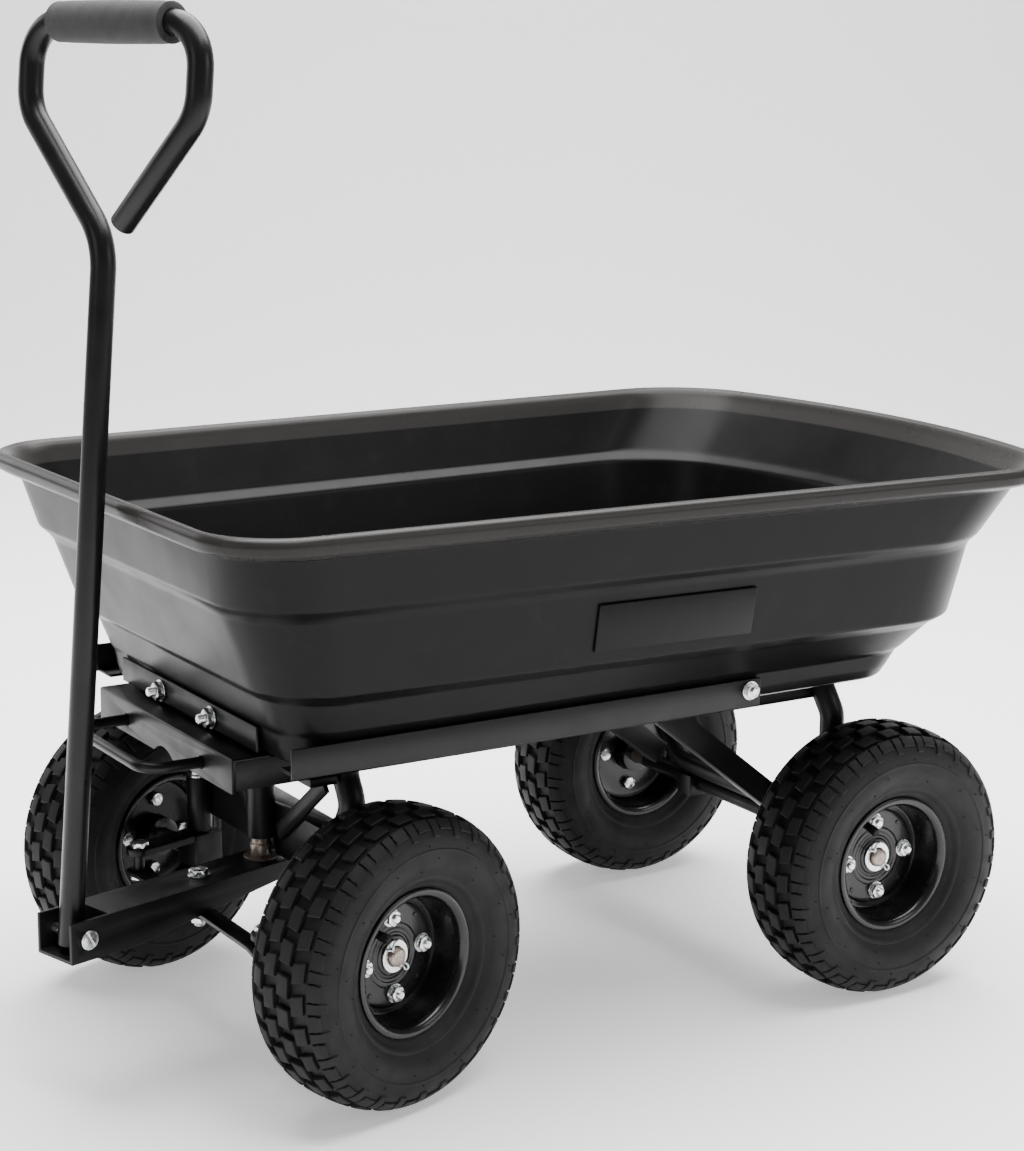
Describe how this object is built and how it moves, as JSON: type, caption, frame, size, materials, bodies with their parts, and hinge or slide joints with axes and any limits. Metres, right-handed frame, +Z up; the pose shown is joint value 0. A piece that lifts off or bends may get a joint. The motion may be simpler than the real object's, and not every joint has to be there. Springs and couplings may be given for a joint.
{
  "type": "garden cart",
  "caption": "Four-wheel garden dump cart with a moulded tipping tub, steel chassis, steered front wheels and a folding pull handle.",
  "frame": {"origin": "on the ground under the middle of the bounding box of the whole cart", "axes": "+X across the cart, +Y towards the rear (tipping) end, +Z up; the handle end faces -Y; metres"},
  "size_m": [0.613, 0.9644, 0.9122],
  "materials": {
    "tub_poly": "satin black moulded polyethylene",
    "panel_poly": "satin black blank panel",
    "powder_coat": "semi-gloss black powder coat on steel",
    "rim_enamel": "gloss black enamel on pressed steel",
    "zinc_plate": "bright zinc plating",
    "plain_steel": "plain turned steel, slightly dull",
    "tyre_rubber": "matte black moulded rubber",
    "grip_foam": "dark grey closed-cell foam"
  },
  "bodies": {
    "chassis": {"frame_rail_left": "powder_coat", "frame_rail_right": "powder_coat", "rear_strut_left": "powder_coat", "rear_strut_right": "powder_coat", "axle_saddle_left": "powder_coat", "axle_saddle_right": "powder_coat", "front_leg_left": "powder_coat", "front_leg_right": "powder_coat", "front_brace_left": "powder_coat", "front_brace_right": "powder_coat", "rear_cross_member": "powder_coat", "king_plate": "powder_coat", "front_axle_beam": "powder_coat", "rear_hoop": "powder_coat", "rear_axle": "plain_steel", "tip_pin": "zinc_plate", "latch_bracket": "powder_coat"},
    "tub": {"tub_shell": "tub_poly", "bed_rail_left": "powder_coat", "bed_rail_right": "powder_coat", "rail_bolt_left": "zinc_plate", "rail_bolt_right": "zinc_plate", "hinge_lug_left": "powder_coat", "hinge_lug_right": "powder_coat", "name_panel_left": "panel_poly", "name_panel_right": "panel_poly", "strike_bolt_left": "zinc_plate", "strike_bolt_right": "zinc_plate", "strike_plate": "powder_coat", "latch_catch": "powder_coat"},
    "release": {"release_handle": "powder_coat"},
    "tongue": {"tongue_beam": "powder_coat", "king_bolt": "plain_steel", "link_bolt": "zinc_plate", "handle_bolt": "zinc_plate"},
    "handle": {"handle_tube": "powder_coat", "handle_grip": "grip_foam"},
    "knuckle_left": {"knuckle_left": "powder_coat", "kingpin_left": "zinc_plate"},
    "link_left": {"steering_link_left": "powder_coat"},
    "knuckle_right": {"knuckle_right": "powder_coat", "kingpin_right": "zinc_plate"},
    "link_right": {"steering_link_right": "powder_coat"},
    "wheel_rear_left": {"tyre_rear_left": "tyre_rubber", "rim_rear_left": "rim_enamel", "hub_rear_left": "rim_enamel", "axle_washer_rear_left": "zinc_plate"},
    "wheel_rear_right": {"tyre_rear_right": "tyre_rubber", "rim_rear_right": "rim_enamel", "hub_rear_right": "rim_enamel", "axle_washer_rear_right": "zinc_plate"},
    "wheel_front_left": {"tyre_front_left": "tyre_rubber", "rim_front_left": "rim_enamel", "hub_front_left": "rim_enamel", "axle_washer_front_left": "zinc_plate"},
    "wheel_front_right": {"tyre_front_right": "tyre_rubber", "rim_front_right": "rim_enamel", "hub_front_right": "rim_enamel", "axle_washer_front_right": "zinc_plate"}
  },
  "joints": [
    {"name": "tub_tip", "type": "hinge", "parent": "chassis", "child": "tub", "pos_m": [0, 0.28, 0.2833], "axis": [-1, 0, 0], "range_deg": [0, 65]},
    {"name": "release_pull", "type": "slide", "parent": "chassis", "child": "release", "axis": [0, -1, 0], "range_m": [0, 0.015], "stiffness_N_per_m": 180},
    {"name": "tongue_steer", "type": "hinge", "parent": "chassis", "child": "tongue", "pos_m": [0, -0.254, 0.16], "axis": [0, 0, 1], "range_deg": [-35, 5]},
    {"name": "handle_fold", "type": "hinge", "parent": "tongue", "child": "handle", "pos_m": [0.05513, -0.45974, 0.144], "axis": [0.9659, 0.2588, 0], "range_deg": [0, 98]},
    {"name": "knuckle_turn_left", "type": "hinge", "parent": "chassis", "child": "knuckle_left", "pos_m": [-0.13, -0.254, 0.176], "axis": [0, 0, 1], "range_deg": [-35, 5]},
    {"name": "link_swing_left", "type": "hinge", "parent": "tongue", "child": "link_left", "pos_m": [0.01889, -0.32451, 0.128], "axis": [0, 0, 1], "range_deg": [-5, 35]},
    {"name": "wheel_roll_front_left", "type": "hinge", "parent": "knuckle_left", "child": "wheel_front_left", "pos_m": [-0.20244, -0.27341, 0.13], "axis": [0.9659, 0.2588, 0], "continuous": true},
    {"name": "wheel_roll_rear_left", "type": "hinge", "parent": "chassis", "child": "wheel_rear_left", "pos_m": [-0.205, 0.29, 0.13], "axis": [1, 0, 0], "continuous": true},
    {"name": "knuckle_turn_right", "type": "hinge", "parent": "chassis", "child": "knuckle_right", "pos_m": [0.13, -0.254, 0.176], "axis": [0, 0, 1], "range_deg": [-35, 5]},
    {"name": "link_swing_right", "type": "hinge", "parent": "tongue", "child": "link_right", "pos_m": [0.01889, -0.32451, 0.128], "axis": [0, 0, 1], "range_deg": [-5, 35]},
    {"name": "wheel_roll_front_right", "type": "hinge", "parent": "knuckle_right", "child": "wheel_front_right", "pos_m": [0.20244, -0.23459, 0.13], "axis": [0.9659, 0.2588, 0], "continuous": true},
    {"name": "wheel_roll_rear_right", "type": "hinge", "parent": "chassis", "child": "wheel_rear_right", "pos_m": [0.205, 0.29, 0.13], "axis": [1, 0, 0], "continuous": true}
  ],
  "couplings": [
    {"joint": "knuckle_turn_left", "follows": "tongue_steer", "ratio": 1},
    {"joint": "link_swing_left", "follows": "tongue_steer", "ratio": -1},
    {"joint": "knuckle_turn_right", "follows": "tongue_steer", "ratio": 1},
    {"joint": "link_swing_right", "follows": "tongue_steer", "ratio": -1}
  ]
}
